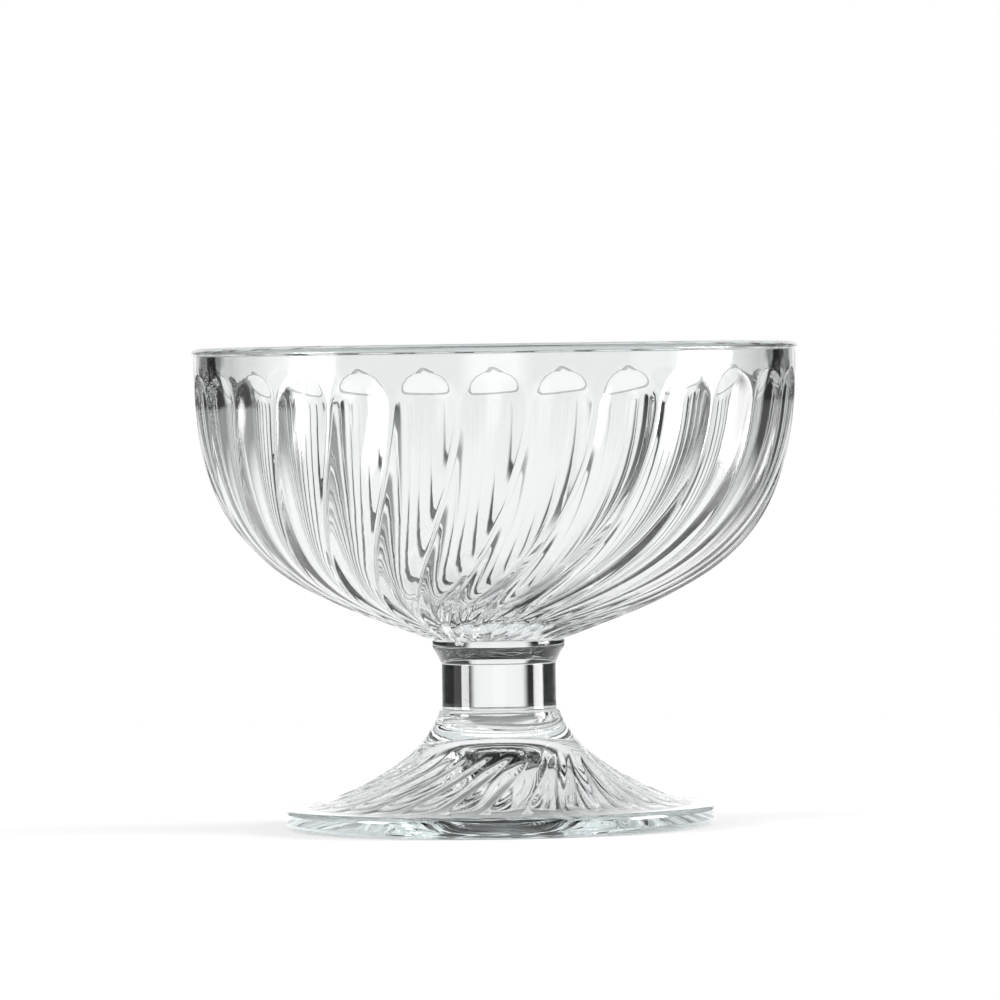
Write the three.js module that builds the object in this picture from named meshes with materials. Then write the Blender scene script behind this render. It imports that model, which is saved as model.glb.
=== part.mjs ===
import * as THREE from "three";

// Footed sundae dish of clear pressed glass, in millimetres with +Z up.
// Foot, stem, collar and bowl are pressed apart and welded hot, one on another, on one upright axis.
// The origin is the middle of the flat ring that the foot stands on.

// Heights of the four pieces, from the table up
const footHeight = 22.5;
const stemHeight = 8.8;
const collarHeight = 4.5;
const bowlHeight = 56.3;

// Stem, and how far its neighbours stand proud of it
const stemRadius = 11.0;
const neckStep = 0.7;
const neckShoulder = 0.8;
const collarStep = 1.7;
const collarEdge = 1.4;
const collarCove = 0.2;

// Foot: a neck that flares into a flat disc, with a flat-topped hollow underneath
const discRadius = 41.0;
const discThickness = 4.1;
const discTopRounding = 1.2;
const discUnderRounding = 1.3;
const discLedge = 1.8;
const flareUpright = 11.5;
const flareLean = THREE.MathUtils.degToRad(18);
const flareRunOut = 2.5;
const restingRing = 5.0;
const hollowHeight = 13.0;
const hollowCrown = 13.0;
const hollowRunOut = 25.2;
const hollowRise = THREE.MathUtils.degToRad(11.4);

// Bowl: a belly that curves in from an upright band to the collar, with a thick rim and a round inside
const bandRadius = 57.5;
const plainBand = 3.4;
const beadTaper = 0.5;
const beadStep = 0.4;
const rimCrown = 1.1;
const bellyUpright = 35.6;
const bellyRunIn = 28.0;
const bellyRise = THREE.MathUtils.degToRad(20);
const wall = 4.2;
const floorThickness = 4.5;
const insideUpright = 35.6;
const insideRunIn = 24.5;

// Flutes: shallow hollows side by side, with arched ends, that swirl clockwise on their way down
const fluteCount = 28;
const bowlFluteDepth = 1.4;
const bowlArch = 7.0;
const bowlFluteRunOut = 3.0;
const bowlSwirl = THREE.MathUtils.degToRad(41);
const footFluteDepth = 0.8;
const footArch = 5.0;
const plainNeck = 8.5;
const plainFlareEnd = 1.5;
const footSwirl = THREE.MathUtils.degToRad(50);

// How finely the curved surfaces are divided
const fluteSteps = 4;
const columns = fluteCount * fluteSteps;
const turnedSegments = 56;
const bellySteps = 18;
const insideSteps = 9;
const flareSteps = 12;
const hollowSteps = 10;
const roundingSteps = 2;
const crownSteps = 4;

// Levels at which one piece is welded to the next
const stemWeld = footHeight;
const collarWeld = stemWeld + stemHeight;
const bowlWeld = collarWeld + collarHeight;
const rimHeight = bowlWeld + bowlHeight;
const collarRadius = stemRadius + collarStep;
const neckRadius = stemRadius + neckStep;

// One level of a swirled piece: where its ridges stand, which way its surface faces, how deep the flutes bite
// there, the share of their width that they have reached, and how far the level is turned about the axis.
function level(point, { facing = new THREE.Vector2(), depth = 0, reach = 0, turn = 0 } = {}) {
  return { point, facing, depth, reach, turn };
}

// The share of a flute's width that is open at this distance from its tip, for an end shaped as an arch.
function archReach(distance, archLength) {
  const share = THREE.MathUtils.clamp(distance / archLength, 0, 1);
  return 1 - (1 - share) ** 2;
}

// The outward side of a curve that climbs the outside of a piece.
function facingOf(tangent) {
  return new THREE.Vector2(tangent.y, -tangent.x);
}

// The point at a distance from another one, in a direction given as an angle from the radius towards +Z.
function along(start, distance, angle) {
  return new THREE.Vector2(Math.cos(angle), Math.sin(angle)).multiplyScalar(distance).add(start);
}

// Points along a curve, as plain levels that share one turn.
function plainLevels(curve, steps, turn) {
  return curve.getPoints(steps).map((point) => level(point, { turn }));
}

// An arc or ellipse given in degrees, with its middle at a radius and a height.
function ellipse(middle, acrossSize, upSize, fromDegrees, toDegrees) {
  const from = THREE.MathUtils.degToRad(fromDegrees);
  const to = THREE.MathUtils.degToRad(toDegrees);
  return new THREE.EllipseCurve(middle.x, middle.y, acrossSize, upSize, from, to, toDegrees < fromDegrees);
}

// A closed solid through the levels, from a point on the axis below them to one above them.
// A flute lies across the middle of the front, which faces -Y.
function swirledSolid(levels, firstHeight, lastHeight) {
  const positions = [];
  const frontTurn = Math.PI / fluteCount;
  for (const { point, facing, depth, reach, turn } of levels) {
    for (let column = 0; column < columns; column++) {
      const across = (2 * (column % fluteSteps)) / fluteSteps - 1;
      const bite = depth * Math.max(0, reach - across ** 2);
      const radius = point.x - bite * facing.x;
      const angle = frontTurn + turn + (2 * Math.PI * column) / columns;
      positions.push(radius * Math.cos(angle), radius * Math.sin(angle), point.y - bite * facing.y);
    }
  }
  const first = levels.length * columns;
  const last = first + 1;
  positions.push(0, 0, firstHeight, 0, 0, lastHeight);
  const faces = [];
  const top = (levels.length - 1) * columns;
  for (let column = 0; column < columns; column++) {
    const next = (column + 1) % columns;
    faces.push(first, next, column);
    for (let start = 0; start < top; start += columns) {
      const above = start + columns;
      faces.push(start + column, start + next, above + next);
      faces.push(start + column, above + next, above + column);
    }
    faces.push(top + column, top + next, last);
  }
  const geometry = new THREE.BufferGeometry();
  geometry.setAttribute("position", new THREE.Float32BufferAttribute(positions, 3));
  geometry.setIndex(faces);
  geometry.computeVertexNormals();
  return geometry;
}

// A plain turned solid about the +Z axis, from its outline of radii and heights.
function turnedSolid(outline) {
  return new THREE.LatheGeometry(outline, turnedSegments).rotateX(Math.PI / 2);
}

// Foot: hollow underside, resting ring, rounded disc edge, then the fluted flare up to the stem's shoulder
function footGeometry() {
  const discTurn = -footSwirl;
  const hollowRadius = discRadius - discUnderRounding - restingRing;
  const hollowTop = new THREE.Vector2(0, hollowHeight);
  const hollowEdge = new THREE.Vector2(hollowRadius, 0);
  const hollow = new THREE.CubicBezierCurve(
    hollowTop,
    along(hollowTop, hollowCrown, 0),
    along(hollowEdge, hollowRunOut, Math.PI - hollowRise),
    hollowEdge,
  );
  const levels = [];
  for (let step = 1; step <= hollowSteps; step++) {
    levels.push(level(hollow.getPointAt(step / hollowSteps), { turn: discTurn }));
  }
  const underMiddle = new THREE.Vector2(discRadius - discUnderRounding, discUnderRounding);
  const topMiddle = new THREE.Vector2(discRadius - discTopRounding, discThickness - discTopRounding);
  const underEdge = ellipse(underMiddle, discUnderRounding, discUnderRounding, -90, 0);
  const topEdge = ellipse(topMiddle, discTopRounding, discTopRounding, 0, 90);
  levels.push(...plainLevels(underEdge, roundingSteps, discTurn));
  levels.push(...plainLevels(topEdge, roundingSteps, discTurn));

  const flareRadius = discRadius - discTopRounding - discLedge;
  const flareEdge = new THREE.Vector2(flareRadius, discThickness);
  const neck = new THREE.Vector2(neckRadius, footHeight - neckShoulder);
  const flare = new THREE.CubicBezierCurve(
    flareEdge,
    along(flareEdge, flareRunOut, Math.PI),
    along(neck, flareUpright, flareLean - Math.PI / 2),
    neck,
  );
  const flareLength = flare.getLength();
  for (let step = 0; step <= flareSteps; step++) {
    const share = step / flareSteps;
    const climbed = share * flareLength;
    const point = flare.getPointAt(share);
    const lowerEnd = archReach(climbed - plainFlareEnd, footArch);
    const upperEnd = archReach(flareLength - plainNeck - climbed, footArch);
    levels.push(
      level(point, {
        facing: facingOf(flare.getTangentAt(share)),
        depth: (footFluteDepth * point.x) / flareRadius,
        reach: Math.min(lowerEnd, upperEnd),
        turn: discTurn * (1 - share ** 2),
      }),
    );
  }
  const shoulder = ellipse(new THREE.Vector2(stemRadius, neck.y), neckStep, neckShoulder, 0, 90);
  levels.push(...plainLevels(shoulder, crownSteps, 0).slice(1));
  return swirledSolid(levels, hollowHeight, footHeight);
}

// Stem: a short solid cylinder between its two welds
function stemGeometry() {
  return turnedSolid([
    new THREE.Vector2(0, stemWeld),
    new THREE.Vector2(stemRadius, stemWeld),
    new THREE.Vector2(stemRadius, collarWeld),
    new THREE.Vector2(0, collarWeld),
  ]);
}

// Collar: a disc that the bowl is seated on, coved underneath down to the stem
function collarGeometry() {
  const coveFoot = new THREE.Vector2(stemRadius, collarWeld);
  const coveTop = new THREE.Vector2(collarRadius, bowlWeld - collarEdge);
  const coveMiddle = coveFoot.clone().lerp(coveTop, 0.5);
  coveMiddle.x -= collarCove;
  const cove = new THREE.QuadraticBezierCurve(coveFoot, coveMiddle, coveTop);
  return turnedSolid([
    new THREE.Vector2(0, collarWeld),
    ...cove.getPoints(crownSteps),
    new THREE.Vector2(collarRadius, bowlWeld),
    new THREE.Vector2(0, bowlWeld),
  ]);
}

// Bowl: fluted outside from the weld up to the plain band, rounded rim, and a smooth inside down to the floor
function bowlGeometry() {
  const crownBase = rimHeight - rimCrown;
  const beadBase = crownBase - beadTaper;
  const fluteTop = beadBase - plainBand;

  const levels = [];
  const weldEdge = new THREE.Vector2(collarRadius, bowlWeld);
  const bandBase = new THREE.Vector2(bandRadius, fluteTop);
  const belly = new THREE.CubicBezierCurve(
    weldEdge,
    along(weldEdge, bellyRunIn, bellyRise),
    along(bandBase, bellyUpright, -Math.PI / 2),
    bandBase,
  );
  for (let step = 0; step <= bellySteps; step++) {
    const share = step / bellySteps;
    const point = belly.getPointAt(share);
    const lowerEnd = archReach(point.x - collarRadius, bowlFluteRunOut);
    const upperEnd = archReach(fluteTop - point.y, bowlArch);
    levels.push(
      level(point, {
        facing: facingOf(belly.getTangentAt(share)),
        depth: (bowlFluteDepth * point.x) / bandRadius,
        reach: Math.min(lowerEnd, upperEnd),
        turn: -bowlSwirl * (1 - share) ** 2,
      }),
    );
  }
  levels.push(level(new THREE.Vector2(bandRadius, beadBase)));

  const insideRadius = bandRadius - wall;
  const crownHalf = (wall + beadStep) / 2;
  const crownMiddle = new THREE.Vector2(insideRadius + crownHalf, crownBase);
  levels.push(...plainLevels(ellipse(crownMiddle, crownHalf, rimCrown, 0, 180), crownSteps, 0));

  const floorHeight = bowlWeld + floorThickness;
  const insideTop = new THREE.Vector2(insideRadius, fluteTop);
  const floorMiddle = new THREE.Vector2(0, floorHeight);
  const inside = new THREE.CubicBezierCurve(
    insideTop,
    along(insideTop, insideUpright, -Math.PI / 2),
    along(floorMiddle, insideRunIn, 0),
    floorMiddle,
  );
  for (let step = 0; step < insideSteps; step++) {
    levels.push(level(inside.getPointAt(step / insideSteps)));
  }
  return swirledSolid(levels, bowlWeld, floorHeight);
}

// Clear glass with the faint green that thick edges show, a little deeper in the solid pieces
function glass(colour) {
  return new THREE.MeshStandardMaterial({
    color: colour,
    roughness: 0.04,
    metalness: 0,
    transparent: true,
    opacity: 0.35,
  });
}

const dish = new THREE.Group();
for (const [name, geometry, colour] of [
  ["foot", footGeometry(), 0xe3eeea],
  ["stem", stemGeometry(), 0xdbe8e4],
  ["collar", collarGeometry(), 0xdbe8e4],
  ["bowl", bowlGeometry(), 0xecf3f1],
]) {
  const mesh = new THREE.Mesh(geometry, glass(colour));
  mesh.name = name;
  dish.add(mesh);
}

export default dish;
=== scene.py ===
# %% [markdown]
# # A footed sundae dish in clear pressed glass
#
# The dish is four lumps of the same clear glass, pressed in moulds and welded hot, one on another: a flared
# foot, a short solid stem, a small collar and a round bowl. Swirled flutes run down the outside of the bowl
# and of the foot. There is no paint and no print, so everything that is seen comes from the shape of the
# glass and from what stands around it. This lesson makes the four pieces from their outlines, gives them
# their glass, and then sets up a small studio that lets clear glass show its edges.
#
# The frame comes first. It holds the measured solids, and each piece made here takes the place of one.

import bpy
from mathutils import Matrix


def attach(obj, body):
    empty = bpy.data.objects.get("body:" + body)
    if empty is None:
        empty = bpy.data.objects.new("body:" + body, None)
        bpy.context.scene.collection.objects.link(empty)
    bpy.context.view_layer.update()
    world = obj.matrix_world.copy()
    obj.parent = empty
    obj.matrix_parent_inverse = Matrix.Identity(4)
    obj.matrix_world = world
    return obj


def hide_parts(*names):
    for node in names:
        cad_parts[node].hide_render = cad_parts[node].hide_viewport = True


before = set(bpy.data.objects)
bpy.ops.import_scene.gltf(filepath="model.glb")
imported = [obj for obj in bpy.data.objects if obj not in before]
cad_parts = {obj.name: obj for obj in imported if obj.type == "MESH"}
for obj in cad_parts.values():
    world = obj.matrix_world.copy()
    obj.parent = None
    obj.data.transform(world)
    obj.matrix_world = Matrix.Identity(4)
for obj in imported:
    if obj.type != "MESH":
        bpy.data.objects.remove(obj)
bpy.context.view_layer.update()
print("solids in the frame:", sorted(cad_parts))

# %% [markdown]
# ## Sizes
#
# The outlines follow the same sizes as the solids, written here in metres. Heights run upwards from the
# ring that the foot stands on, and radii run outwards from the upright axis.

# %% Sizes of the dish
import math

import bpy
from mathutils import Matrix, Vector
from mathutils.geometry import interpolate_bezier

MM = 0.001
FOOT_HEIGHT = 22.5 * MM
STEM_HEIGHT = 8.8 * MM
COLLAR_HEIGHT = 4.5 * MM
BOWL_HEIGHT = 56.3 * MM
FOOT_TOP = FOOT_HEIGHT
STEM_TOP = FOOT_TOP + STEM_HEIGHT
COLLAR_TOP = STEM_TOP + COLLAR_HEIGHT
RIM_TOP = COLLAR_TOP + BOWL_HEIGHT
STEM_RADIUS = 11.0 * MM
NECK_STEP = 0.7 * MM
COLLAR_STEP = 1.7 * MM
NECK_RADIUS = STEM_RADIUS + NECK_STEP
COLLAR_RADIUS = STEM_RADIUS + COLLAR_STEP
FLUTES = 28


def in_mm(values):
    return [round(value / MM, 2) for value in values]


print("welds and rim in mm:", in_mm((FOOT_TOP, STEM_TOP, COLLAR_TOP, RIM_TOP)))

# %% [markdown]
# ## Outlines
#
# A pressed dish is turned round an axis, so half of its section is enough to describe it. Each outline is
# a list of stations. A station knows its radius and height, and, where flutes are pressed into the glass,
# which way the plain surface faces there, how deep a flute bites, what share of its width it has reached
# and how far it has swirled. A Screw modifier could turn a plain outline, but it can't twist flutes into
# it, so the stations carry what the flutes need.

# %% Stations of an outline
CURVE_POINTS = 2000


def station(radius, height, facing=(0.0, 0.0), bite=0.0, reach=0.0, turn=0.0, weld=False):
    return {
        "radius": radius,
        "height": height,
        "facing": facing,
        "bite": bite,
        "reach": reach,
        "turn": turn,
        "weld": float(weld),
    }


def arc(middle, across, upright, start, end, steps, turn=0.0):
    """Stations on part of an ellipse, its angles in degrees."""
    stations = []
    for step in range(steps + 1):
        angle = math.radians(start + (end - start) * step / steps)
        radius = middle[0] + across * math.cos(angle)
        stations.append(station(radius, middle[1] + upright * math.sin(angle), turn=turn))
    return stations


def even_curve(handles, steps):
    """Points, headings and shares of the length, evenly spaced along a Bezier curve."""
    fine = interpolate_bezier(*[Vector(point) for point in handles], CURVE_POINTS)
    lengths = [0.0]
    for before, after in zip(fine, fine[1:]):
        lengths.append(lengths[-1] + (after - before).length)
    rows, at = [], 0
    for step in range(steps + 1):
        target = lengths[-1] * step / steps
        while at < len(fine) - 2 and lengths[at + 1] < target:
            at += 1
        piece = (target - lengths[at]) / (lengths[at + 1] - lengths[at])
        point = fine[at].lerp(fine[at + 1], piece)
        rows.append((point, (fine[at + 1] - fine[at]).normalized(), step / steps, target))
    return rows, lengths[-1]


def arch(distance, length):
    """Share of a flute's width that is open at this distance from its tip."""
    share = min(1.0, max(0.0, distance / length))
    return 1.0 - (1.0 - share) ** 2


def between(before, after, share):
    """A station part of the way from one station to the next."""
    mixed = {key: before[key] + (after[key] - before[key]) * share for key in before if key != "facing"}
    mixed["facing"] = tuple(a + (b - a) * share for a, b in zip(before["facing"], after["facing"]))
    return mixed


def hold_edges(stations):
    """Adds a station close to each end of a long flat run, so that its shading stays flat."""
    hold, bend = 0.06 * MM, math.radians(1.0)
    spots = [Vector((s["radius"], s["height"])) for s in stations]
    runs = [after - before for before, after in zip(spots, spots[1:])]
    held = [stations[0]]
    for i, run in enumerate(runs):
        for beside, distance in ((i - 1, hold), (i + 1, run.length - hold)):
            near_edge = 0 <= beside < len(runs) and runs[beside].length < run.length / 3
            if near_edge and run.angle(runs[beside]) > bend and run.length > 4 * hold:
                held.append(between(stations[i], stations[i + 1], distance / run.length))
        held.append(stations[i + 1])
    return held


# %% [markdown]
# ## Flutes by rule
#
# Every flute has the same section, a shallow hollow between two ridges, and all of them swirl together.
# That is a rule, so Geometry Nodes can press them: the tree takes an outline, turns it into a closed
# tube with many columns, and moves each point inwards by the flute's depth at that place. The ridges
# between flutes are rounded, as fire polishing leaves them. A Boolean cut with 28 twisted cutters would
# give the same form, but its edges would be ragged, and clear glass shows every ragged edge.

# %% Small helpers for node trees
def add_node(tree, kind, label="", **settings):
    node = tree.nodes.new(kind)
    node.label = label
    for name, value in settings.items():
        setattr(node, name, value)
    return node


def feed(tree, socket, value):
    """Links an output to the socket, or sets the socket's own value."""
    if isinstance(value, bpy.types.NodeSocket):
        tree.links.new(value, socket)
    else:
        socket.default_value = value


def calc(tree, operation, *values, label=""):
    node = add_node(tree, "ShaderNodeMath", label, operation=operation)
    for socket, value in zip(node.inputs, values):
        feed(tree, socket, value)
    return node.outputs[0]


def node_of(tree, kind, label="", inputs=None, **settings):
    node = add_node(tree, kind, label, **settings)
    for name, value in (inputs or {}).items():
        feed(tree, node.inputs[name], value)
    return node


def axes_of(tree, vector):
    """The X, Y and Z of a vector."""
    return node_of(tree, "ShaderNodeSeparateXYZ", inputs={"Vector": vector}).outputs


def attribute(tree, name, kind):
    """What the mesh says under this name."""
    return node_of(tree, "GeometryNodeInputNamedAttribute", inputs={"Name": name}, data_type=kind).outputs[0]


# %% The flute tree
press = bpy.data.node_groups.new("Swirled glass", "GeometryNodeTree")
press.is_modifier = True
for name, kind, value in (
    ("Outline", "NodeSocketGeometry", None),
    ("Flutes", "NodeSocketInt", FLUTES),
    ("Steps per flute", "NodeSocketInt", 14),
    ("Crowding at ridges", "NodeSocketFloat", 0.75),
    ("Ridge rounding", "NodeSocketFloat", 0.06),
    ("Border rounding", "NodeSocketFloat", 0.05),
    ("Crease angle", "NodeSocketFloat", math.radians(35.0)),
    ("Glass", "NodeSocketMaterial", None),
    ("Weld", "NodeSocketMaterial", None),
):
    socket = press.interface.new_socket(name, in_out="INPUT", socket_type=kind)
    if value is not None:
        socket.default_value = value
press.interface.new_socket("Piece", in_out="OUTPUT", socket_type="NodeSocketGeometry")
given = add_node(press, "NodeGroupInput").outputs

# %% The tube that the outline is wrapped on
columns = calc(press, "MULTIPLY", given["Flutes"], given["Steps per flute"], label="columns")
outline_size = node_of(press, "GeometryNodeAttributeDomainSize", inputs={"Geometry": given["Outline"]})
spans = calc(press, "SUBTRACT", outline_size.outputs["Point Count"], 1.0, label="spans")
tube = node_of(
    press,
    "GeometryNodeMeshCylinder",
    "tube",
    {"Vertices": columns, "Side Segments": spans, "Radius": 1.0, "Depth": 1.0},
    fill_type="NONE",
).outputs["Mesh"]
place = add_node(press, "GeometryNodeInputPosition").outputs[0]
tube_place = axes_of(press, place)
lift = calc(press, "ADD", tube_place["Z"], 0.5)
row = calc(press, "ROUND", calc(press, "MULTIPLY", lift, spans), label="station")
around = calc(press, "ARCTAN2", tube_place["Y"], tube_place["X"], label="angle round the axis")


def at_station(name, kind):
    """What the outline says at this point's station."""
    if name == "position":
        value = add_node(press, "GeometryNodeInputPosition").outputs[0]
    else:
        value = attribute(press, name, kind)
    sample = add_node(press, "GeometryNodeSampleIndex", name, data_type=kind, domain="POINT")
    for socket, value_in in (("Geometry", given["Outline"]), ("Value", value), ("Index", row)):
        feed(press, sample.inputs[socket], value_in)
    return sample.outputs[0]


section = axes_of(press, at_station("position", "FLOAT_VECTOR"))
facing = axes_of(press, at_station("facing", "FLOAT_VECTOR"))

# %% The hollow of one flute
pitch = calc(press, "DIVIDE", 2 * math.pi, given["Flutes"], label="pitch")
turns = calc(press, "DIVIDE", around, pitch)
even_across = calc(press, "MULTIPLY_ADD", calc(press, "FRACT", turns), 2.0, -1.0)
even_ridge = calc(press, "SUBTRACT", 1.0, calc(press, "ABSOLUTE", even_across))
toward_ridge = calc(press, "SUBTRACT", even_ridge, 1.0)
crowd = calc(press, "MULTIPLY_ADD", toward_ridge, given["Crowding at ridges"], 1.0)
from_ridge = calc(press, "MULTIPLY", even_ridge, crowd, label="distance from the ridge")
across = calc(press, "MULTIPLY", calc(press, "SUBTRACT", 1.0, from_ridge), calc(press, "SIGN", even_across))
round_square = calc(press, "POWER", given["Ridge rounding"], 2.0)
ridge_root = calc(press, "SQRT", calc(press, "MULTIPLY_ADD", from_ridge, from_ridge, round_square))
soft_ridge = calc(press, "SUBTRACT", ridge_root, given["Ridge rounding"], label="rounded ridge")
soft_across = calc(press, "SUBTRACT", 1.0, soft_ridge)
hollow = calc(press, "SUBTRACT", at_station("reach", "FLOAT"), calc(press, "POWER", soft_across, 2.0))
border_square = calc(press, "POWER", given["Border rounding"], 2.0)
border_root = calc(press, "SQRT", calc(press, "MULTIPLY_ADD", hollow, hollow, border_square))
open_share = calc(press, "MULTIPLY", calc(press, "ADD", hollow, border_root), 0.5, label="rounded border")
depth = calc(press, "MULTIPLY", at_station("bite", "FLOAT"), open_share, label="depth of the flute")

# %% The pressed surface
SAME_POINT = 1e-6
flute_share = calc(press, "MULTIPLY_ADD", across, 0.5, 1.0)
in_turns = calc(press, "ADD", calc(press, "FLOOR", turns), flute_share)
angle = calc(press, "MULTIPLY_ADD", in_turns, pitch, at_station("turn", "FLOAT"), label="swirl")
radius = calc(press, "SUBTRACT", section["X"], calc(press, "MULTIPLY", depth, facing["X"]))
height = calc(press, "SUBTRACT", section["Z"], calc(press, "MULTIPLY", depth, facing["Z"]))
pressed_place = node_of(
    press,
    "ShaderNodeCombineXYZ",
    inputs={
        "X": calc(press, "MULTIPLY", radius, calc(press, "COSINE", angle)),
        "Y": calc(press, "MULTIPLY", radius, calc(press, "SINE", angle)),
        "Z": height,
    },
).outputs[0]
marked = node_of(
    press,
    "GeometryNodeStoreNamedAttribute",
    inputs={"Geometry": tube, "Name": "weld", "Value": at_station("weld", "FLOAT")},
    data_type="FLOAT",
    domain="POINT",
).outputs[0]
shaped = node_of(press, "GeometryNodeSetPosition", inputs={"Geometry": marked, "Position": pressed_place})
closed = node_of(
    press,
    "GeometryNodeMergeByDistance",
    inputs={"Geometry": shaped.outputs[0], "Distance": SAME_POINT},
).outputs[0]

# %% Shading, and the two materials of a piece
edge_angle = add_node(press, "GeometryNodeInputMeshEdgeAngle").outputs["Unsigned Angle"]
gentle = calc(press, "LESS_THAN", edge_angle, given["Crease angle"], label="gentle edge")
smooth = node_of(
    press,
    "GeometryNodeSetShadeSmooth",
    inputs={"Geometry": closed, "Shade Smooth": True},
    domain="FACE",
)
creased = node_of(
    press,
    "GeometryNodeSetShadeSmooth",
    inputs={"Geometry": smooth.outputs[0], "Shade Smooth": gentle},
    domain="EDGE",
)
ALL_WELD = 0.99
on_weld = calc(press, "GREATER_THAN", attribute(press, "weld", "FLOAT"), ALL_WELD, label="weld face")
real = node_of(press, "GeometryNodeRealizeInstances", inputs={"Geometry": creased.outputs[0]}).outputs[0]
glazed = node_of(press, "GeometryNodeSetMaterial", inputs={"Geometry": real, "Material": given["Glass"]})
welded = node_of(
    press,
    "GeometryNodeSetMaterial",
    inputs={"Geometry": glazed.outputs[0], "Selection": on_weld, "Material": given["Weld"]},
).outputs[0]
feed(press, add_node(press, "NodeGroupOutput").inputs["Piece"], welded)
print("flute tree:", len(press.nodes), "nodes")


# %% Making a piece from its outline
def make_piece(name, outline_stations, **sizes):
    stations = hold_edges(outline_stations)
    mesh = bpy.data.meshes.new(name + "_outline")
    points = [(s["radius"], 0.0, s["height"]) for s in stations]
    mesh.from_pydata(points, [(i, i + 1) for i in range(len(points) - 1)], [])
    for key in ("bite", "reach", "turn", "weld"):
        mesh.attributes.new(key, "FLOAT", "POINT").data.foreach_set("value", [s[key] for s in stations])
    faces = [value for s in stations for value in (s["facing"][0], 0.0, s["facing"][1])]
    mesh.attributes.new("facing", "FLOAT_VECTOR", "POINT").data.foreach_set("vector", faces)
    outline = bpy.data.objects.new(name + "_outline", mesh)
    bpy.context.scene.collection.objects.link(outline)
    modifier = outline.modifiers.new("Swirled glass", "NODES")
    modifier.node_group = press
    for socket in press.interface.items_tree:
        if socket.in_out == "INPUT" and socket.name in sizes:
            modifier[socket.identifier] = sizes[socket.name]
    graph = bpy.context.evaluated_depsgraph_get()
    made = bpy.data.meshes.new_from_object(outline.evaluated_get(graph))
    made.name = name
    piece = bpy.data.objects.new(name, made)
    bpy.context.scene.collection.objects.link(piece)
    bpy.data.objects.remove(outline)
    triangles = sum(len(face.vertices) - 2 for face in made.polygons)
    print(name, len(stations), "stations,", triangles, "triangles")
    return piece


# %% [markdown]
# ## The glass
#
# Clear soda glass is nearly colourless, with a breath of green that shows where it is thick. Its surface is
# fire polished, so it is very smooth, but never quite flat: the mould's chill leaves a faint ripple. Handling
# leaves a thin film that dulls the gloss a little in places, and the foot's ring is frosted by years of
# sliding on tables. Each of these marks is a small node group, and so is the darker tint at the rim's bead
# and the disc's edge, which is partly the green of thick glass and partly painted shade; every piece places
# the groups it needs, with its own values. A Principled shader with full transmission does the rest.

# %% The mould's ripple
def surface_group(name, inputs, output):
    """A node group with number inputs and one number output, and the place on the piece that it reads."""
    group = bpy.data.node_groups.new(name, "ShaderNodeTree")
    for label, value in inputs.items():
        group.interface.new_socket(label, in_out="INPUT", socket_type="NodeSocketFloat").default_value = value
    group.interface.new_socket(output, in_out="OUTPUT", socket_type="NodeSocketFloat")
    place = add_node(group, "ShaderNodeTexCoord").outputs["Object"]
    result = add_node(group, "NodeGroupOutput").inputs[output]
    return group, add_node(group, "NodeGroupInput").outputs, result, place


def noise(tree, place, scale, detail, roughness=0.5, label=""):
    inputs = {"Vector": place, "Scale": scale, "Detail": detail, "Roughness": roughness}
    return node_of(tree, "ShaderNodeTexNoise", label, inputs).outputs[0]


ripple, ripple_in, ripple_out, ripple_place = surface_group(
    "Mould ripple", {"Waves per metre": 140.0, "Height": 1.0}, "Height"
)
waves = noise(ripple, ripple_place, ripple_in["Waves per metre"], 2.0, 0.45)
feed(ripple, ripple_out, calc(ripple, "MULTIPLY", waves, ripple_in["Height"]))


# %% The film of handling
def fade(tree, value, start, end, label="", low=0.0, high=1.0):
    """Goes softly from low to high while the value goes from start to end."""
    inputs = {"Value": value, "From Min": start, "From Max": end, "To Min": low, "To Max": high}
    return node_of(tree, "ShaderNodeMapRange", label, inputs, interpolation_type="SMOOTHSTEP").outputs[0]


film, film_in, film_out, film_place = surface_group(
    "Handling film", {"Patches per metre": 45.0, "Clean": 0.004, "Dull": 0.03}, "Roughness"
)
SMEAR_STARTS, SMEAR_FULL = 0.52, 0.75
patches = noise(film, film_place, film_in["Patches per metre"], 5.0, 0.6)
smear = fade(film, patches, SMEAR_STARTS, SMEAR_FULL, "smear", film_in["Clean"], film_in["Dull"])
feed(film, film_out, smear)

# %% The wear of the standing ring
wear, wear_in, wear_out, wear_place = surface_group(
    "Table wear", {"Height of wear": 0.5 * MM, "Scratches per metre": 900.0}, "Mask"
)
SCRATCH_GAIN = 1.4
wear_height = axes_of(wear, wear_place)["Z"]
near_table = calc(wear, "SUBTRACT", 1.0, calc(wear, "DIVIDE", wear_height, wear_in["Height of wear"]))
scratches = noise(wear, wear_place, wear_in["Scratches per metre"], 4.0, 0.7)
broken = calc(wear, "MULTIPLY", scratches, SCRATCH_GAIN)
worn = calc(wear, "MULTIPLY", calc(wear, "MAXIMUM", near_table, 0.0), broken)
feed(wear, wear_out, calc(wear, "MINIMUM", worn, 1.0))


# %% The green of thick edges, with painted shade
def from_axis(tree, axes):
    """Distance from the upright axis."""
    across = calc(tree, "POWER", axes["Y"], 2.0)
    return calc(tree, "SQRT", calc(tree, "MULTIPLY_ADD", axes["X"], axes["X"], across))


# A metre off is nowhere on the dish, so only a height or radius that a piece asks for shows.
OFF, PAST_OFF = 1.0, 1.1
# This mask places the darker edge colour: partly the green of thick glass, partly painted shade.
deep, deep_in, deep_out, deep_place = surface_group(
    "Thick edge with painted shade",
    {"Radius from": OFF, "Radius to": PAST_OFF, "Height from": OFF, "Height to": PAST_OFF},
    "Mask",
)
deep_axes = axes_of(deep, deep_place)
by_radius = fade(deep, from_axis(deep, deep_axes), deep_in["Radius from"], deep_in["Radius to"])
by_height = fade(deep, deep_axes["Z"], deep_in["Height from"], deep_in["Height to"])
feed(deep, deep_out, calc(deep, "MAXIMUM", by_radius, by_height))


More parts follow.
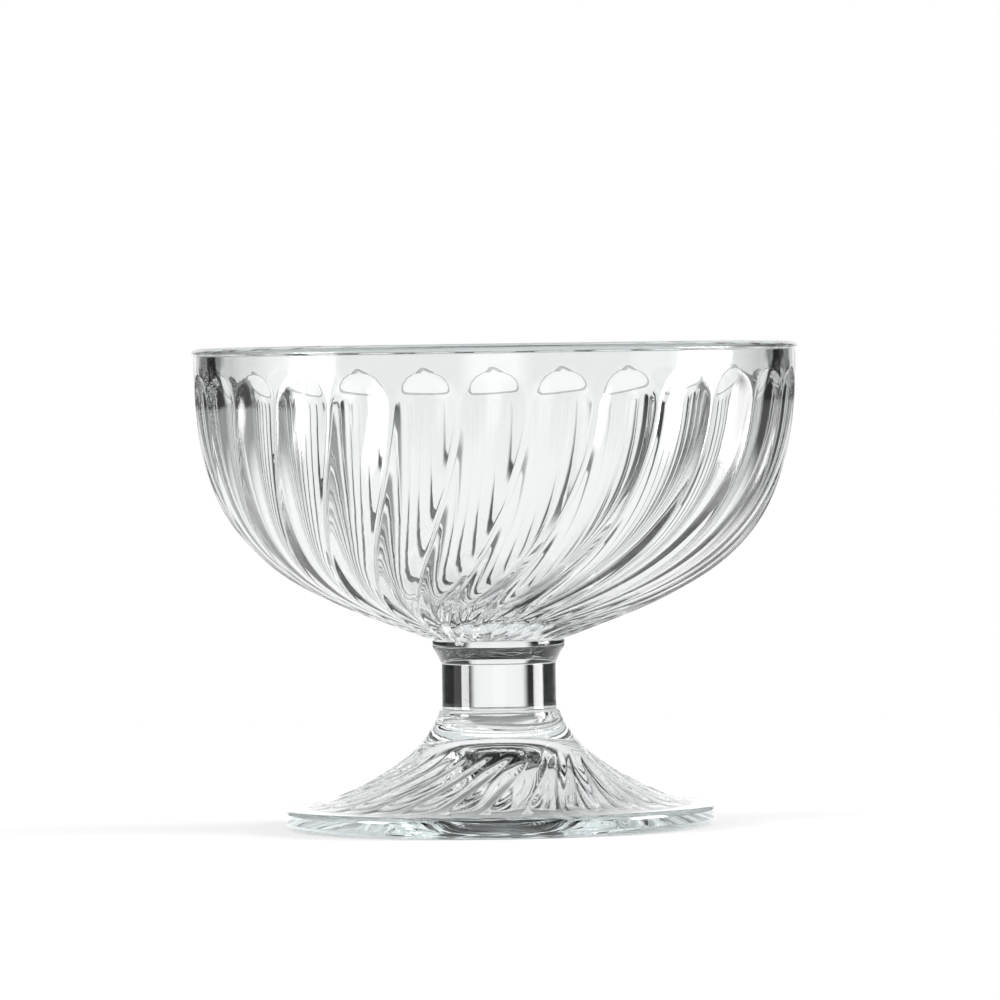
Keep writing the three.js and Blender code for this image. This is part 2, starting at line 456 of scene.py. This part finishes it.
# %% Glass for one piece
GLASS_IOR = 1.51
CORDS_PER_METRE = 30.0
FROSTING = 0.35
RIPPLE_HEIGHT = 0.02 * MM


def group_node(tree, group, **values):
    node = add_node(tree, "ShaderNodeGroup", group.name, node_tree=group)
    for label, value in values.items():
        node.inputs[label.replace("_", " ")].default_value = value
    return node.outputs[0]


def pressed_glass(name, clear, streaked, edge=None, edge_place=None, worn_foot=False):
    """Clear glass between two close tints, with the mould's ripple and a film, and at an edge a deeper tint
    with painted shade.
    """
    material = bpy.data.materials.new(name)
    material.use_nodes = True
    tree = material.node_tree
    shader = tree.nodes["Principled BSDF"]
    shader.inputs["Transmission Weight"].default_value = 1.0
    shader.inputs["IOR"].default_value = GLASS_IOR
    place = add_node(tree, "ShaderNodeTexCoord").outputs["Object"]
    cords = noise(tree, place, CORDS_PER_METRE, 3.0, label="cords in the melt")
    tint = node_of(tree, "ShaderNodeMix", "tint", data_type="RGBA")
    feed(tree, tint.inputs["Factor"], cords)
    feed(tree, tint.inputs["A"], (*clear, 1.0))
    feed(tree, tint.inputs["B"], (*streaked, 1.0))
    colour = tint.outputs["Result"]
    # The edge colour is a deeper green with painted shade, placed by the edge mask.
    if edge:
        edged = node_of(tree, "ShaderNodeMix", "edge", data_type="RGBA")
        feed(tree, edged.inputs["Factor"], group_node(tree, deep, **edge_place))
        feed(tree, edged.inputs["A"], colour)
        feed(tree, edged.inputs["B"], (*edge, 1.0))
        colour = edged.outputs["Result"]
    feed(tree, shader.inputs["Base Color"], colour)
    gloss = group_node(tree, film)
    if worn_foot:
        frosting = calc(tree, "MULTIPLY", group_node(tree, wear), FROSTING)
        gloss = calc(tree, "ADD", gloss, frosting)
    feed(tree, shader.inputs["Roughness"], gloss)
    bump = node_of(tree, "ShaderNodeBump", "ripple", {"Strength": 1.0, "Distance": RIPPLE_HEIGHT})
    feed(tree, bump.inputs["Height"], group_node(tree, ripple))
    feed(tree, shader.inputs["Normal"], bump.outputs["Normal"])
    print("glass:", name)
    return material


# %% [markdown]
# Each piece has its own pair of close tints. The thin bowl and foot are almost colourless, and the thick stem
# and collar are a little deeper. The rim's bead and the disc's edge are painted much darker still: partly the
# green of glass looked at along its length, and partly painted shade that draws the dark outline of the dish.

# %% Glass of the four pieces
# The disc edge and rim tints are painted dark edges: a deeper green plus painted shade.
DISC_EDGE_TINT_WITH_PAINTED_SHADE = (0.72, 0.81, 0.82)
RIM_TINT_WITH_PAINTED_SHADE = (0.42, 0.48, 0.47)
bowl_glass = pressed_glass(
    "bowl_glass",
    clear=(0.980, 0.990, 0.988),
    streaked=(0.955, 0.976, 0.972),
    edge=RIM_TINT_WITH_PAINTED_SHADE,
    edge_place={"Height_from": 90.2 * MM, "Height_to": 91.8 * MM},
)
collar_glass = pressed_glass("collar_glass", clear=(0.88, 0.905, 0.90), streaked=(0.85, 0.885, 0.88))
stem_glass = pressed_glass("stem_glass", clear=(0.93, 0.955, 0.952), streaked=(0.90, 0.935, 0.932))
foot_glass = pressed_glass(
    "foot_glass",
    clear=(0.975, 0.985, 0.984),
    streaked=(0.95, 0.970, 0.969),
    edge=DISC_EDGE_TINT_WITH_PAINTED_SHADE,
    edge_place={"Radius_from": 38.0 * MM, "Radius_to": 41.0 * MM},
    worn_foot=True,
)

# %% [markdown]
# Where two lumps were welded, the glass runs through with no surface in between, so light crosses a weld
# without bending. The pieces stay separate closed solids all the same. Their weld faces get a material of
# their own that is there but not seen: an Alpha of 0 lets every ray through.

# %% The fused weld
fused_weld = bpy.data.materials.new("fused_weld")
fused_weld.use_nodes = True
weld_shader = fused_weld.node_tree.nodes["Principled BSDF"]
weld_shader.inputs["Alpha"].default_value = 0.0
SEAM = 0.12 * MM
WELD_RADIUS = STEM_RADIUS - SEAM
print("seam at each weld, radius of a weld in mm:", in_mm((SEAM, WELD_RADIUS)))

# %% [markdown]
# ## Foot
#
# The foot is a disc with a rounded edge that sweeps up into a narrow neck. It is hollow underneath and
# stands on a flat ring. The hollow is flat on top, as a plain plunger leaves it, and runs out to the ring
# in one long curve. The flutes start just inside the disc's edge, swirl round the sweep and die out below
# the neck. The outline runs from the middle of the hollow outwards, round the edge and up.

# %% Sizes of the foot
DISC_RADIUS = 41.0 * MM
DISC_THICKNESS = 4.1 * MM
DISC_TOP_ROUNDING = 1.2 * MM
DISC_UNDER_ROUNDING = 1.3 * MM
DISC_LEDGE = 1.8 * MM
RESTING_RING = 5.0 * MM
RING_BLEND = 1.2 * MM
FLARE_RADIUS = DISC_RADIUS - DISC_TOP_ROUNDING - DISC_LEDGE
HOLLOW_RADIUS = DISC_RADIUS - DISC_UNDER_ROUNDING - RESTING_RING
HOLLOW_HEIGHT = 13.0 * MM
HOLLOW_CROWN = 13.0 * MM
HOLLOW_RUN_OUT = 25.2 * MM
HOLLOW_RISE = math.radians(11.4)
FLARE_UPRIGHT = 11.5 * MM
FLARE_LEAN = math.radians(18.0)
FLARE_RUN_OUT = 2.5 * MM
NECK_SHOULDER = 0.8 * MM
FOOT_BITE = 0.8 * MM
FOOT_SWIRL = math.radians(50.0)
FOOT_ARCH = 5.0 * MM
PLAIN_NECK = 8.5 * MM
PLAIN_FLARE_END = 1.5 * MM
HOLLOW_STEPS = 48
BLEND_STEPS = 8
FLARE_STEPS = 72


# %% Outline of the foot
def foot_outline():
    under = -FOOT_SWIRL
    lip, ring = Vector((HOLLOW_RADIUS, 0.0)), Vector((HOLLOW_RADIUS + RING_BLEND, 0.0))
    hollow = (
        (0.0, HOLLOW_HEIGHT),
        (HOLLOW_CROWN, HOLLOW_HEIGHT),
        lip + HOLLOW_RUN_OUT * Vector((-math.cos(HOLLOW_RISE), math.sin(HOLLOW_RISE))),
        lip,
    )
    stations = []
    for point, *_ in even_curve(hollow, HOLLOW_STEPS)[0][:-2]:
        stations.append(station(point.x, point.y, turn=under))
    last = Vector((stations[-1]["radius"], stations[-1]["height"]))
    for step in range(1, BLEND_STEPS + 1):
        share = step / BLEND_STEPS
        point = last.lerp(lip, share).lerp(lip.lerp(ring, share), share)
        stations.append(station(point.x, point.y, turn=under))
    edge = DISC_RADIUS - DISC_UNDER_ROUNDING
    stations += arc((edge, DISC_UNDER_ROUNDING), DISC_UNDER_ROUNDING, DISC_UNDER_ROUNDING, -90, 0, 8, under)
    brow = DISC_RADIUS - DISC_TOP_ROUNDING
    rise = DISC_THICKNESS - DISC_TOP_ROUNDING
    stations += arc((brow, rise), DISC_TOP_ROUNDING, DISC_TOP_ROUNDING, 0, 90, 10, under)
    neck = Vector((NECK_RADIUS, FOOT_TOP - NECK_SHOULDER))
    handles = (
        (FLARE_RADIUS, DISC_THICKNESS),
        (FLARE_RADIUS - FLARE_RUN_OUT, DISC_THICKNESS),
        neck + FLARE_UPRIGHT * Vector((math.sin(FLARE_LEAN), -math.cos(FLARE_LEAN))),
        neck,
    )
    rows, length = even_curve(handles, FLARE_STEPS)
    for point, heading, share, climbed in rows:
        low_end, high_end = climbed - PLAIN_FLARE_END, length - PLAIN_NECK - climbed
        reach = min(arch(low_end, FOOT_ARCH), arch(high_end, FOOT_ARCH))
        out = (heading.y, -heading.x)
        bite = FOOT_BITE * point.x / FLARE_RADIUS
        stations.append(station(point.x, point.y, out, bite, reach, under * (1 - share**2)))
    width = NECK_RADIUS - WELD_RADIUS
    stations += arc((WELD_RADIUS, neck.y), width, NECK_SHOULDER, 0, 90, 8)[1:]
    stations[-1]["weld"] = 1.0
    stations.append(station(0.0, FOOT_TOP, weld=True))
    return stations


foot = make_piece("glass_foot", foot_outline(), Glass=foot_glass, Weld=fused_weld)

# %% [markdown]
# ## Stem and collar
#
# The stem is a plain drum of glass. The collar above it widens from the stem's size to a little disc, and
# the bowl sits on that. Both have a fine seam at their welds, where the lumps met: without it the three
# pieces would run into one another and look cast in one. They have no flutes, so the same tree simply
# turns their outlines.

# %% The stem
def stem_outline():
    stations = [station(0.0, FOOT_TOP, weld=True), station(WELD_RADIUS, FOOT_TOP, weld=True)]
    stations += arc((WELD_RADIUS, FOOT_TOP + SEAM), SEAM, SEAM, -90, 0, 4)[1:]
    stations += arc((WELD_RADIUS, STEM_TOP - SEAM), SEAM, SEAM, 0, 90, 4)
    stations[-1]["weld"] = 1.0
    return stations + [station(0.0, STEM_TOP, weld=True)]


stem = make_piece("glass_stem", stem_outline(), Glass=stem_glass, Weld=fused_weld)

# %% The collar
COLLAR_EDGE = 1.4 * MM
COLLAR_COVE = 0.2 * MM
COLLAR_ROUNDING = 0.3 * MM
COVE_STEPS = 12


def collar_outline():
    stations = [station(0.0, STEM_TOP, weld=True), station(WELD_RADIUS, STEM_TOP, weld=True)]
    stations += arc((WELD_RADIUS, STEM_TOP + SEAM), SEAM, SEAM, -90, 0, 4)[1:]
    low = Vector((STEM_RADIUS, STEM_TOP + SEAM))
    high = Vector((COLLAR_RADIUS, COLLAR_TOP - COLLAR_EDGE))
    middle = low.lerp(high, 0.5) - Vector((COLLAR_COVE, 0.0))
    for step in range(1, COVE_STEPS):
        share = step / COVE_STEPS
        point = low.lerp(middle, share).lerp(middle.lerp(high, share), share)
        stations.append(station(point.x, point.y))
    stations.append(station(COLLAR_RADIUS, COLLAR_TOP - COLLAR_EDGE + COLLAR_ROUNDING))
    brow = (COLLAR_RADIUS - COLLAR_ROUNDING, COLLAR_TOP - COLLAR_ROUNDING)
    stations += arc(brow, COLLAR_ROUNDING, COLLAR_ROUNDING, 0, 90, 6)
    stations[-1]["weld"] = 1.0
    return stations + [station(0.0, COLLAR_TOP, weld=True)]


collar = make_piece("glass_collar", collar_outline(), Glass=collar_glass, Weld=fused_weld)

# %% [markdown]
# ## Bowl
#
# The bowl's belly drops straight from a plain band under the rim, then turns in and runs almost straight to
# the collar. Its flutes have arched tips under the band and swirl more and more on their way down. The
# rim is a thick rounded bead, and the inside is smooth, because the plunger that pressed it was plain.

# %% Sizes of the bowl
BAND_RADIUS = 57.5 * MM
RIM_CROWN = 1.1 * MM
BEAD_STEP = 0.4 * MM
BEAD_TAPER = 0.5 * MM
PLAIN_BAND = 3.4 * MM
CROWN_BASE = RIM_TOP - RIM_CROWN
BEAD_BASE = CROWN_BASE - BEAD_TAPER
FLUTE_TOP = BEAD_BASE - PLAIN_BAND
WALL = 4.2 * MM
FLOOR_THICKNESS = 4.5 * MM
BOWL_FLOOR = COLLAR_TOP + FLOOR_THICKNESS
BELLY_UPRIGHT = 35.6 * MM
BELLY_RUN_IN = 28.0 * MM
BELLY_RISE = math.radians(20.0)
INSIDE_UPRIGHT = 35.6 * MM
INSIDE_RUN_IN = 24.5 * MM
BOWL_BITE = 1.4 * MM
BOWL_ARCH = 7.0 * MM
BOWL_RUN_OUT = 3.0 * MM
BOWL_SWIRL = math.radians(41.0)
BELLY_STEPS = 150
BAND_STEPS = 2
BEAD_STEPS = 6
INSIDE_STEPS = 60


# %% Outline of the bowl
def bowl_outline():
    weld_edge = COLLAR_RADIUS - COLLAR_ROUNDING
    stations = [station(0.0, COLLAR_TOP, weld=True), station(weld_edge, COLLAR_TOP, weld=True)]
    low, high = Vector((COLLAR_RADIUS, COLLAR_TOP)), Vector((BAND_RADIUS, FLUTE_TOP))
    handles = (
        low,
        low + BELLY_RUN_IN * Vector((math.cos(BELLY_RISE), math.sin(BELLY_RISE))),
        high - Vector((0.0, BELLY_UPRIGHT)),
        high,
    )
    for point, heading, share, _ in even_curve(handles, BELLY_STEPS)[0]:
        reach = min(arch(point.x - COLLAR_RADIUS, BOWL_RUN_OUT), arch(FLUTE_TOP - point.y, BOWL_ARCH))
        out = (heading.y, -heading.x)
        bite = BOWL_BITE * point.x / BAND_RADIUS
        stations.append(station(point.x, point.y, out, bite, reach, -BOWL_SWIRL * (1 - share) ** 2))
    for step in range(1, BAND_STEPS + 1):
        stations.append(station(BAND_RADIUS, FLUTE_TOP + (BEAD_BASE - FLUTE_TOP) * step / BAND_STEPS))
    for step in range(1, BEAD_STEPS):
        share = step / BEAD_STEPS
        ease = share * share * (3 - 2 * share)
        height = BEAD_BASE + (CROWN_BASE - BEAD_BASE) * share
        stations.append(station(BAND_RADIUS + BEAD_STEP * ease, height))
    half = (WALL + BEAD_STEP) / 2
    inner = BAND_RADIUS - WALL
    stations += arc((inner + half, CROWN_BASE), half, RIM_CROWN, 0, 180, 20)
    handles = (
        (inner, FLUTE_TOP),
        (inner, FLUTE_TOP - INSIDE_UPRIGHT),
        (INSIDE_RUN_IN, BOWL_FLOOR),
        (0.0, BOWL_FLOOR),
    )
    for point, *_ in even_curve(handles, INSIDE_STEPS)[0]:
        stations.append(station(point.x, point.y))
    return stations


bowl = make_piece("glass_bowl", bowl_outline(), Glass=bowl_glass, Weld=fused_weld)

# %% [markdown]
# ## Putting the pieces on the frame
#
# Nothing on a glass dish moves, so every piece rides on the one body. Each takes the place of the solid that
# it was made from.

# %% Pieces on the frame
for piece, node in ((foot, "foot"), (stem, "stem"), (collar, "collar"), (bowl, "bowl")):
    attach(piece, "root")
    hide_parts(node)

# %% [markdown]
# ## Table and studio
#
# Clear glass on white can vanish. Photographers keep its outline by letting it stand before a bright screen
# that is not too wide, with dark cards beside it: the middle of the glass passes the white on, and its edges
# bend the dark cards into view. Here the table is a small round white one, and the world holds the
# screens and the cards, which only reflected and transmitted rays see. The camera sees plain white.
#
# The table thins out towards its edge. To the camera it is lost in the white around it, so there is no
# horizon. To rays in the glass it ends sooner, and they see the screens and cards beyond it. Under the foot
# its own white fades: a painted shadow of the dish that stands there, which also darkens the table seen
# through the foot.

# %% The table
TABLE_RADIUS = 0.42
TABLE_CORNERS = 128
TABLE_COLOUR = (0.8, 0.8, 0.8, 1.0)
SHADED_GLOW, OPEN_GLOW = 0.12, 0.42
SHADED_TO, OPEN_FROM = 0.012, 0.045
GLASS_GLOW = 1.4


def white_table():
    mesh = bpy.data.meshes.new("table")
    angles = [2 * math.pi * i / TABLE_CORNERS for i in range(TABLE_CORNERS)]
    ring = [(TABLE_RADIUS * math.cos(angle), TABLE_RADIUS * math.sin(angle), 0.0) for angle in angles]
    mesh.from_pydata(ring, [], [list(range(TABLE_CORNERS))])
    table = bpy.data.objects.new("table", mesh)
    bpy.context.scene.collection.objects.link(table)
    return table


def seen_in_glass(tree, ray):
    """1 for rays that glass mirrors or lets through."""
    return calc(tree, "MAXIMUM", ray["Is Glossy Ray"], ray["Is Transmission Ray"])


table = white_table()
table_white = bpy.data.materials.new("table_white")
table_white.use_nodes = True
tree = table_white.node_tree
tree.nodes.clear()
ray = add_node(tree, "ShaderNodeLightPath").outputs
glass_ray = seen_in_glass(tree, ray)
seen = calc(tree, "MULTIPLY_ADD", glass_ray, GLASS_GLOW, ray["Is Camera Ray"], label="as white through glass")
table_axes = axes_of(tree, add_node(tree, "ShaderNodeTexCoord").outputs["Object"])
from_middle = from_axis(tree, table_axes)
# The table's glow is painted darker under the foot: a painted shadow of the dish.
glow_with_painted_shadow = fade(tree, from_middle, SHADED_TO, OPEN_FROM, "painted shadow under the foot", SHADED_GLOW, OPEN_GLOW)
glow = node_of(tree, "ShaderNodeEmission", inputs={"Strength": calc(tree, "MULTIPLY", seen, glow_with_painted_shadow)})
both = add_node(tree, "ShaderNodeAddShader")
feed(tree, both.inputs[0], node_of(tree, "ShaderNodeBsdfDiffuse", inputs={"Color": TABLE_COLOUR}).outputs[0])
feed(tree, both.inputs[1], glow.outputs[0])

# %% The table's edge
GLASS_FADE = 0.12, 0.3
CAMERA_FADE = 0.2, TABLE_RADIUS
for_glass = fade(tree, from_middle, *GLASS_FADE, "thin to the glass")
for_camera = fade(tree, from_middle, *CAMERA_FADE, "lost in the white")
thinness = calc(
    tree,
    "MAXIMUM",
    calc(tree, "MULTIPLY", for_glass, glass_ray),
    calc(tree, "MULTIPLY", for_camera, ray["Is Camera Ray"]),
)
thinned = node_of(tree, "ShaderNodeMixShader", inputs={"Fac": thinness})
feed(tree, thinned.inputs[1], both.outputs[0])
feed(tree, thinned.inputs[2], add_node(tree, "ShaderNodeBsdfTransparent").outputs[0])
feed(tree, add_node(tree, "ShaderNodeOutputMaterial").inputs["Surface"], thinned.outputs[0])
table.data.materials.append(table_white)
print("table:", len(tree.nodes), "nodes")

# %% [markdown]
# White screens stand front, back, left and right, and dark cards between them. The screen behind the dish
# is wider than the others, and above the screens all is dark. Below the table's level the cards are grey,
# paler on one slant than on the other, so that the bowl's far wall stays clear when it is looked down on.

# %% The screens and the cards
NARROW_SCREENS = 0.55, 0.25
WIDE_SCREEN = 0.925, 0.962
SCREEN_TOPS = 0.35, 0.6
CARD_FEET = -0.03, -0.15
CARD_GREY = 0.02
LOW_GREY, LOW_GREY_SLANT = 0.18, -0.12
LIGHT_LEVEL = 0.5
WHITE = (1.0, 1.0, 1.0, 1.0)
world = bpy.data.worlds.new("studio")
bpy.context.scene.world = world
world.use_nodes = True
tree = world.node_tree
tree.nodes.clear()
toward = axes_of(tree, add_node(tree, "ShaderNodeTexCoord").outputs["Generated"])
azimuth = calc(tree, "ARCTAN2", toward["Y"], toward["X"])
slant = calc(tree, "SINE", calc(tree, "MULTIPLY", azimuth, 2.0))
corner = calc(tree, "ABSOLUTE", slant, label="1 between the screens")
narrow = fade(tree, corner, *NARROW_SCREENS, "narrow screens all round")
spread = calc(tree, "SQRT", calc(tree, "SUBTRACT", 1.0, calc(tree, "POWER", toward["Z"], 2.0)))
wide = fade(tree, calc(tree, "DIVIDE", toward["Y"], spread), *WIDE_SCREEN, "wide screen behind")
ceiling = fade(tree, toward["Z"], *SCREEN_TOPS, "above the screens")
between_screens = calc(tree, "SUBTRACT", 1.0, calc(tree, "MAXIMUM", narrow, wide))
below = fade(tree, toward["Z"], *CARD_FEET, "below the cards")
low_grey = calc(tree, "MULTIPLY_ADD", slant, LOW_GREY_SLANT, LOW_GREY, label="paler on one slant")
card = calc(tree, "MULTIPLY_ADD", low_grey, below, CARD_GREY, label="grey of a card")

# %% The world's light
ray = add_node(tree, "ShaderNodeLightPath").outputs
glass_ray = seen_in_glass(tree, ray)
dark = calc(tree, "MULTIPLY", calc(tree, "MAXIMUM", between_screens, ceiling), glass_ray)
studio = node_of(tree, "ShaderNodeMix", "studio", data_type="RGBA")
feed(tree, studio.inputs["Factor"], dark)
feed(tree, studio.inputs["A"], WHITE)
feed(tree, studio.inputs["B"], card)
shown = calc(tree, "MAXIMUM", ray["Is Camera Ray"], glass_ray)
level = calc(tree, "MULTIPLY_ADD", shown, 1.0 - LIGHT_LEVEL, LIGHT_LEVEL, label="light level")
backdrop = add_node(tree, "ShaderNodeBackground")
feed(tree, backdrop.inputs["Color"], studio.outputs["Result"])
feed(tree, backdrop.inputs["Strength"], level)
feed(tree, add_node(tree, "ShaderNodeOutputWorld").inputs["Surface"], backdrop.outputs[0])
print("studio world:", len(tree.nodes), "nodes")

# %% [markdown]
# Two tall soft boxes, left and right of the camera, draw the bright upright streaks on the stem and on the
# flutes. Glass mirrors only a few hundredths of what falls on it, so the boxes are narrow and bright
# rather than large: the streaks show, and the table still gets plain light. Light that has come through
# the glass would bring the full glare along and drown the far side in white, so there the boxes are no
# brighter than a white screen.

# %% The soft boxes
BOX_DISTANCE = 0.9
BOX_MIDDLE = 0.1
BOX_TALL = 1.0
BOX_AIM = Vector((0.0, 0.0, 0.05))
GLARE = 16.0
SIDE_FADE, END_FADE = 0.2, 0.3


def soft_box(name, azimuth, width):
    """A tall lamp that faces the dish, with soft edges; the azimuth is in degrees to the camera's right."""
    lamp = bpy.data.lights.new(name, "AREA")
    lamp.shape = "RECTANGLE"
    lamp.size, lamp.size_y = width, BOX_TALL
    lamp.energy = GLARE * math.pi * width * BOX_TALL
    box = bpy.data.objects.new(name, lamp)
    bpy.context.scene.collection.objects.link(box)
    angle = math.radians(azimuth)
    box.location = (BOX_DISTANCE * math.sin(angle), -BOX_DISTANCE * math.cos(angle), BOX_MIDDLE)
    box.rotation_euler = (BOX_AIM - box.location).to_track_quat("-Z", "Y").to_euler()
    box.visible_camera = False
    lamp.use_nodes = True
    tree = lamp.node_tree
    spot = axes_of(tree, add_node(tree, "ShaderNodeNewGeometry").outputs["Parametric"])
    fades = []
    for place, soft_edge in ((spot["X"], SIDE_FADE), (spot["Y"], END_FADE)):
        off_middle = calc(tree, "ABSOLUTE", calc(tree, "SUBTRACT", place, 0.5))
        fades.append(fade(tree, calc(tree, "SUBTRACT", 0.5, off_middle), 0.0, soft_edge))
    through = calc(tree, "MINIMUM", add_node(tree, "ShaderNodeLightPath").outputs["Transmission Depth"], 1.0)
    plain = calc(tree, "MULTIPLY_ADD", through, 1.0 / GLARE - 1.0, 1.0, label="plain white through glass")
    glow = calc(tree, "MULTIPLY", calc(tree, "MULTIPLY", *fades), plain)
    feed(tree, tree.nodes["Emission"].inputs["Strength"], glow)
    print(name, "at", [round(value, 3) for value in box.location])


soft_box("left_box", azimuth=-71, width=0.36)
soft_box("right_box", azimuth=86, width=0.5)

# %% [markdown]
# ## Camera
#
# The dish was photographed from a long way off with a long lens, a little above its rim: the rim is seen
# almost edge on, and the foot from a few degrees above. The picture leans by less than a degree.

# %% The camera
DISTANCE = 1.5
SIDE_STEP = 0.0007
EYE_HEIGHT = 0.0965
AIM_HEIGHT = 0.0623
LENS = 282.8
LEAN = math.radians(-0.82)
camera_data = bpy.data.cameras.new("camera")
camera_data.lens = LENS
camera_data.sensor_width = 36.0
camera = bpy.data.objects.new("camera", camera_data)
bpy.context.scene.collection.objects.link(camera)
bpy.context.scene.camera = camera
camera.location = (SIDE_STEP, -DISTANCE, EYE_HEIGHT)
aim = Vector((SIDE_STEP, 0.0, AIM_HEIGHT))
look = (aim - camera.location).to_track_quat("-Z", "Y").to_matrix()
camera.rotation_euler = (look @ Matrix.Rotation(LEAN, 3, "Z")).to_euler()
camera_data.dof.use_dof = False

# %% [markdown]
# ## Last settings
#
# Light goes in and out of clear glass many times before it reaches the camera, so the paths may be long.
# The picture keeps plain colours.

# %% Finish
GLASS_BOUNCES = 24
MIRROR_BOUNCES = 12
scene = bpy.context.scene
scene.view_settings.view_transform = "Standard"
scene.cycles.max_bounces = GLASS_BOUNCES
scene.cycles.transmission_bounces = GLASS_BOUNCES
scene.cycles.glossy_bounces = MIRROR_BOUNCES
